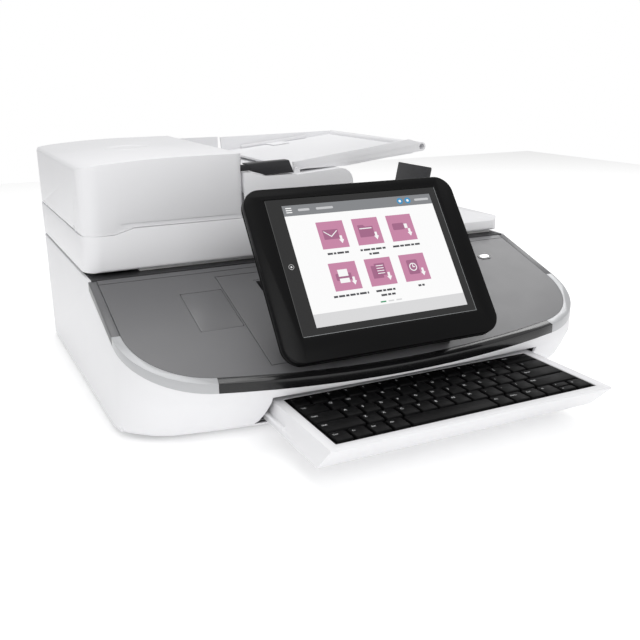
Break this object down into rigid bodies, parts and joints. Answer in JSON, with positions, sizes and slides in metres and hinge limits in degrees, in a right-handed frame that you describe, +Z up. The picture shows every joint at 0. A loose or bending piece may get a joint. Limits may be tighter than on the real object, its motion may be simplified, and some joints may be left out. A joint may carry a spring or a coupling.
{
  "type": "sheet fed document scanner",
  "caption": "Desktop document scanner with a sheet feeder over a flatbed, a tilting touch screen on a sloping deck and a pull-out keyboard tray.",
  "frame": {"origin": "on the ground under the middle of the machine with its keyboard tray pulled out, as it stands at rest", "axes": "+Z up, +Y to the back, +X to the right as seen from the front"},
  "size_m": [0.506, 0.576, 0.2508],
  "materials": {
    "white_shell": "fine-grained white ABS",
    "deck_plastic": "satin graphite moulding",
    "trim_black": "gloss black moulding",
    "trim_grey": "satin light-grey moulding",
    "trim_dark": "satin dark-grey moulding",
    "housing_black": "satin black moulding",
    "screen_glass": "printed touch glass, gloss",
    "display": "lit display panel",
    "clear_glass": "clear float glass",
    "key_plastic": "matt black keycaps",
    "steel": "ground steel",
    "sheet_metal": "zinc-plated sheet steel",
    "rubber": "matt rubber",
    "board": "solder-masked circuit board",
    "pad_white": "white backing foam",
    "button_metal": "satin silver",
    "socket_black": "black moulding",
    "motor_dark": "black-coated steel"
  },
  "bodies": {
    "base": {"base_plate": "sheet_metal", "lower_shell": "white_shell", "rubber_feet": "rubber", "case_screws": "steel", "deck_panel": "deck_plastic", "front_strip": "trim_black", "deck_corner_left": "trim_grey", "deck_corner_right": "trim_grey", "side_strip_left": "deck_plastic", "side_strip_right": "deck_plastic", "pocket_cover": "deck_plastic", "screen_bay": "deck_plastic", "button_ring": "trim_black", "rear_panel": "white_shell", "power_inlet": "socket_black", "port_block": "steel", "main_board": "board", "power_supply": "sheet_metal", "tray_rail_left": "sheet_metal", "tray_rail_right": "sheet_metal", "flatbed_frame": "trim_dark", "platen_glass": "clear_glass", "feeder_glass": "clear_glass", "carriage_rods": "steel", "drive_belt": "rubber", "drive_motor": "motor_dark", "screen_brackets": "sheet_metal", "screen_pin": "steel", "hinge_pins": "steel"},
    "button": {"power_button": "button_metal"},
    "keyboard": {"keyboard_tray": "white_shell", "keyboard_base": "key_plastic"},
    "keys_numbers": {"key_row_numbers": "key_plastic"},
    "keys_upper": {"key_row_upper": "key_plastic"},
    "keys_home": {"key_row_home": "key_plastic"},
    "keys_lower": {"key_row_lower": "key_plastic"},
    "keys_bottom": {"key_row_bottom": "key_plastic"},
    "key_space": {"space_bar": "key_plastic"},
    "carriage": {"scan_carriage": "socket_black", "sensor_bar": "steel"},
    "pulley": {"belt_pulley": "steel"},
    "screen": {"screen_bezel": "housing_black", "screen_back": "housing_black", "touch_glass": "screen_glass", "display_panel": "display"},
    "lid": {"lid_frame": "white_shell", "lid_pad": "pad_white", "lid_hinge_left": "sheet_metal", "lid_hinge_right": "sheet_metal", "feeder_base": "white_shell", "separation_pad": "rubber"},
    "cover": {"feeder_cover": "white_shell"},
    "latch": {"cover_latch": "trim_dark"},
    "pick_shaft": {"pick_roller": "rubber"},
    "feed_shaft": {"feed_roller": "rubber"},
    "input": {"input_tray": "white_shell"},
    "guide_front": {"paper_guide_front": "white_shell"},
    "guide_back": {"paper_guide_back": "white_shell"},
    "stop": {"paper_stop": "trim_dark"}
  },
  "joints": [
    {"name": "power_button_press", "type": "slide", "parent": "base", "child": "button", "axis": [0, 0.3192, -0.9477], "range_m": [0, 0.0015], "stiffness_N_per_m": 300, "springref_m": -0.002},
    {"name": "keyboard_slide", "type": "slide", "parent": "base", "child": "keyboard", "axis": [0, 1, 0], "range_m": [0, 0.1]},
    {"name": "key_row_numbers_press", "type": "slide", "parent": "keyboard", "child": "keys_numbers", "axis": [0, 0, -1], "range_m": [0, 0.002], "stiffness_N_per_m": 400, "springref_m": -0.002},
    {"name": "key_row_upper_press", "type": "slide", "parent": "keyboard", "child": "keys_upper", "axis": [0, 0, -1], "range_m": [0, 0.002], "stiffness_N_per_m": 400, "springref_m": -0.002},
    {"name": "key_row_home_press", "type": "slide", "parent": "keyboard", "child": "keys_home", "axis": [0, 0, -1], "range_m": [0, 0.002], "stiffness_N_per_m": 400, "springref_m": -0.002},
    {"name": "key_row_lower_press", "type": "slide", "parent": "keyboard", "child": "keys_lower", "axis": [0, 0, -1], "range_m": [0, 0.002], "stiffness_N_per_m": 400, "springref_m": -0.002},
    {"name": "key_row_bottom_press", "type": "slide", "parent": "keyboard", "child": "keys_bottom", "axis": [0, 0, -1], "range_m": [0, 0.002], "stiffness_N_per_m": 400, "springref_m": -0.002},
    {"name": "space_bar_press", "type": "slide", "parent": "keyboard", "child": "key_space", "axis": [0, 0, -1], "range_m": [0, 0.002], "stiffness_N_per_m": 300, "springref_m": -0.002},
    {"name": "screen_tilt", "type": "hinge", "parent": "base", "child": "screen", "pos_m": [-0.0125, -0.17259, 0.08506], "axis": [1, 0, 0], "range_deg": [-34.5, 12]},
    {"name": "carriage_slide", "type": "slide", "parent": "base", "child": "carriage", "axis": [1, 0, 0], "range_m": [0, 0.37]},
    {"name": "pulley_spin", "type": "hinge", "parent": "base", "child": "pulley", "pos_m": [0.232, 0.0465, 0.093], "axis": [0, 0, 1], "range_deg": [0, 3215]},
    {"name": "lid_hinge", "type": "hinge", "parent": "base", "child": "lid", "pos_m": [0, 0.28, 0.14], "axis": [-1, 0, 0], "range_deg": [0, 75]},
    {"name": "feeder_cover_hinge", "type": "hinge", "parent": "lid", "child": "cover", "pos_m": [-0.249, 0.146, 0.1775], "axis": [0, -1, 0], "range_deg": [0, 60]},
    {"name": "cover_latch_lift", "type": "hinge", "parent": "cover", "child": "latch", "pos_m": [-0.097, 0.011, 0.231], "axis": [0, -1, 0], "range_deg": [0, 18], "stiffness_Nm_per_rad": 0.03, "springref_deg": -11.46},
    {"name": "pick_roller_spin", "type": "hinge", "parent": "lid", "child": "pick_shaft", "pos_m": [-0.112, 0.146, 0.231], "axis": [0, 1, 0], "continuous": true},
    {"name": "feed_roller_spin", "type": "hinge", "parent": "lid", "child": "feed_shaft", "pos_m": [-0.16, 0.146, 0.229], "axis": [0, 1, 0], "continuous": true},
    {"name": "input_tray_lift", "type": "hinge", "parent": "lid", "child": "input", "pos_m": [-0.018, 0.134, 0.224], "axis": [0, -1, 0], "range_deg": [0, 30]},
    {"name": "guide_front_slide", "type": "slide", "parent": "input", "child": "guide_front", "axis": [0, 1, 0], "range_m": [0, 0.055]},
    {"name": "guide_back_slide", "type": "slide", "parent": "input", "child": "guide_back", "axis": [0, -1, 0], "range_m": [0, 0.055]},
    {"name": "paper_stop_fold", "type": "hinge", "parent": "lid", "child": "stop", "pos_m": [0.226, 0.174, 0.157], "axis": [0, -1, 0], "range_deg": [0, 101]}
  ],
  "couplings": [
    {"joint": "pulley_spin", "follows": "carriage_slide", "rad_per_m": 151.51},
    {"joint": "feed_roller_spin", "follows": "pick_roller_spin", "ratio": 1},
    {"joint": "guide_back_slide", "follows": "guide_front_slide", "ratio": 1}
  ]
}
